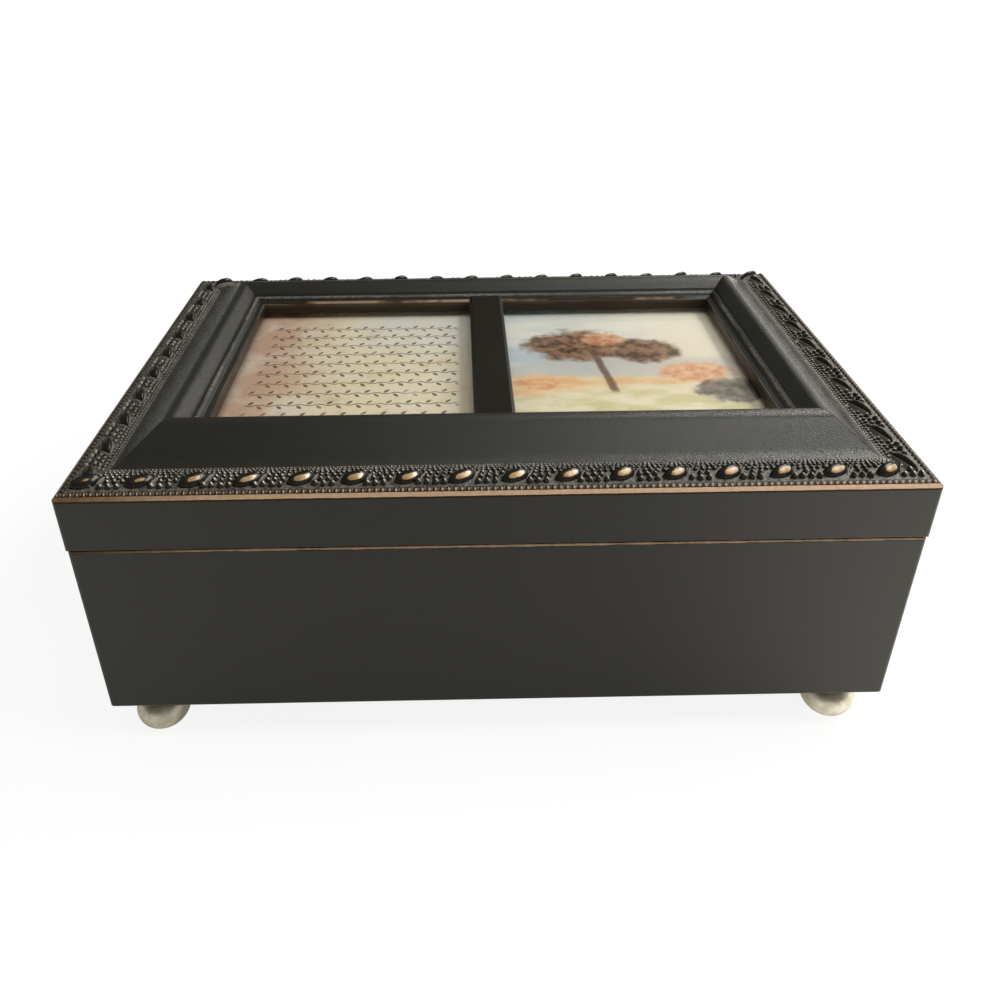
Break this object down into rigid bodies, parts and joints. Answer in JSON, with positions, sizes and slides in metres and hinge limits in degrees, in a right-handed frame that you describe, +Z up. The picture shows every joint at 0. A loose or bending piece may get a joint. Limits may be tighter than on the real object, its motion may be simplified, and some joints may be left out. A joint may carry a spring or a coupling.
{
  "type": "music box",
  "caption": "Keepsake music box on ball feet: a black case with a hinged lid framed as a double picture frame, and a wind-up movement under a clear cover.",
  "frame": {"origin": "centre of the bounding box on the floor, under the feet", "axes": "+Z up, front with the opening edge of the lid towards -Y, hinges towards +Y, +X to the right"},
  "size_m": [0.2032, 0.1288, 0.0871],
  "materials": {
    "painted_board": "satin black paint on wood, rubbed to copper at the edges",
    "painted_moulding": "satin black paint on a wooden moulding with composition trim",
    "window_glass": "clear polished",
    "left_print": "printed card",
    "right_print": "printed card",
    "plain_board": "unpainted",
    "felt": "black felt over board",
    "foot_metal": "satin cast metal",
    "clear_plastic": "clear polished",
    "steel": "bright",
    "brass": "bright",
    "cast_plate": "bronze paint",
    "black_plastic": "moulded"
  },
  "bodies": {
    "case": {"case_front_wall": "painted_board", "case_back_wall": "painted_board", "case_left_wall": "painted_board", "case_right_wall": "painted_board", "bottom_panel": "plain_board", "ball_feet": "foot_metal", "foot_studs": "steel", "front_lining": "felt", "back_lining": "felt", "left_lining": "felt", "right_lining": "felt", "long_partition": "felt", "cross_partition": "felt", "floor_linings": "felt", "cover_ledges": "plain_board", "movement_cover": "clear_plastic", "lid_bumpers": "felt", "case_hinge_leaves": "brass", "case_hinge_screws": "steel", "hinge_pins": "steel", "movement_bedplate": "cast_plate", "spring_housing": "steel", "mainspring": "steel", "comb": "steel", "comb_screws": "steel", "mounting_screws": "steel", "front_bearing_bracket": "steel", "rear_bearing_bracket": "steel", "governor_bracket": "steel", "bracket_screws": "steel"},
    "lid": {"lid_front_rim": "painted_board", "lid_back_rim": "painted_board", "lid_left_rim": "painted_board", "lid_right_rim": "painted_board", "frame_front_rail": "painted_moulding", "frame_back_rail": "painted_moulding", "frame_left_rail": "painted_moulding", "frame_right_rail": "painted_moulding", "centre_bar": "painted_moulding", "left_pane": "window_glass", "right_pane": "window_glass", "left_picture_card": "left_print", "right_picture_card": "right_print", "backing_board": "plain_board", "retaining_points": "steel", "lid_lining": "felt", "lid_hinge_leaves": "brass", "lid_hinge_screws": "steel"},
    "winding": {"crown_wheel": "brass", "winding_arbor": "steel", "winding_key": "steel"},
    "drum": {"pinned_drum": "brass", "drum_axle": "steel", "drum_pinion": "brass", "drum_wheel": "brass"},
    "intermediate": {"intermediate_pinion": "steel", "worm_wheel": "black_plastic"},
    "governor": {"governor_worm": "steel", "air_brake": "black_plastic"},
    "stop": {"stop_rod": "steel"}
  },
  "joints": [
    {"name": "lid_hinge", "type": "hinge", "parent": "case", "child": "lid", "pos_m": [0, 0.0625, 0.064], "axis": [-1, 0, 0], "range_deg": [0, 100]},
    {"name": "key_turn", "type": "hinge", "parent": "case", "child": "winding", "pos_m": [0.05655, 0.0075, 0.03], "axis": [0, 0, 1], "continuous": true},
    {"name": "drum_turn", "type": "hinge", "parent": "case", "child": "drum", "pos_m": [0.05655, 0.0215, 0.0347], "axis": [0, 1, 0], "continuous": true},
    {"name": "intermediate_turn", "type": "hinge", "parent": "case", "child": "intermediate", "pos_m": [0.04855, 0.0464, 0.0347], "axis": [0, 1, 0], "continuous": true},
    {"name": "governor_turn", "type": "hinge", "parent": "case", "child": "governor", "pos_m": [0.05485, 0.0464, 0.0347], "axis": [0, 0, 1], "continuous": true},
    {"name": "stop_slide", "type": "slide", "parent": "case", "child": "stop", "axis": [0, 0, 1], "range_m": [0, 0.003]}
  ],
  "couplings": [
    {"joint": "drum_turn", "follows": "key_turn", "ratio": -3},
    {"joint": "intermediate_turn", "follows": "key_turn", "ratio": 12},
    {"joint": "governor_turn", "follows": "key_turn", "ratio": 120},
    {"joint": "stop_slide", "follows": "lid_hinge", "m_per_rad": 0.001718}
  ]
}
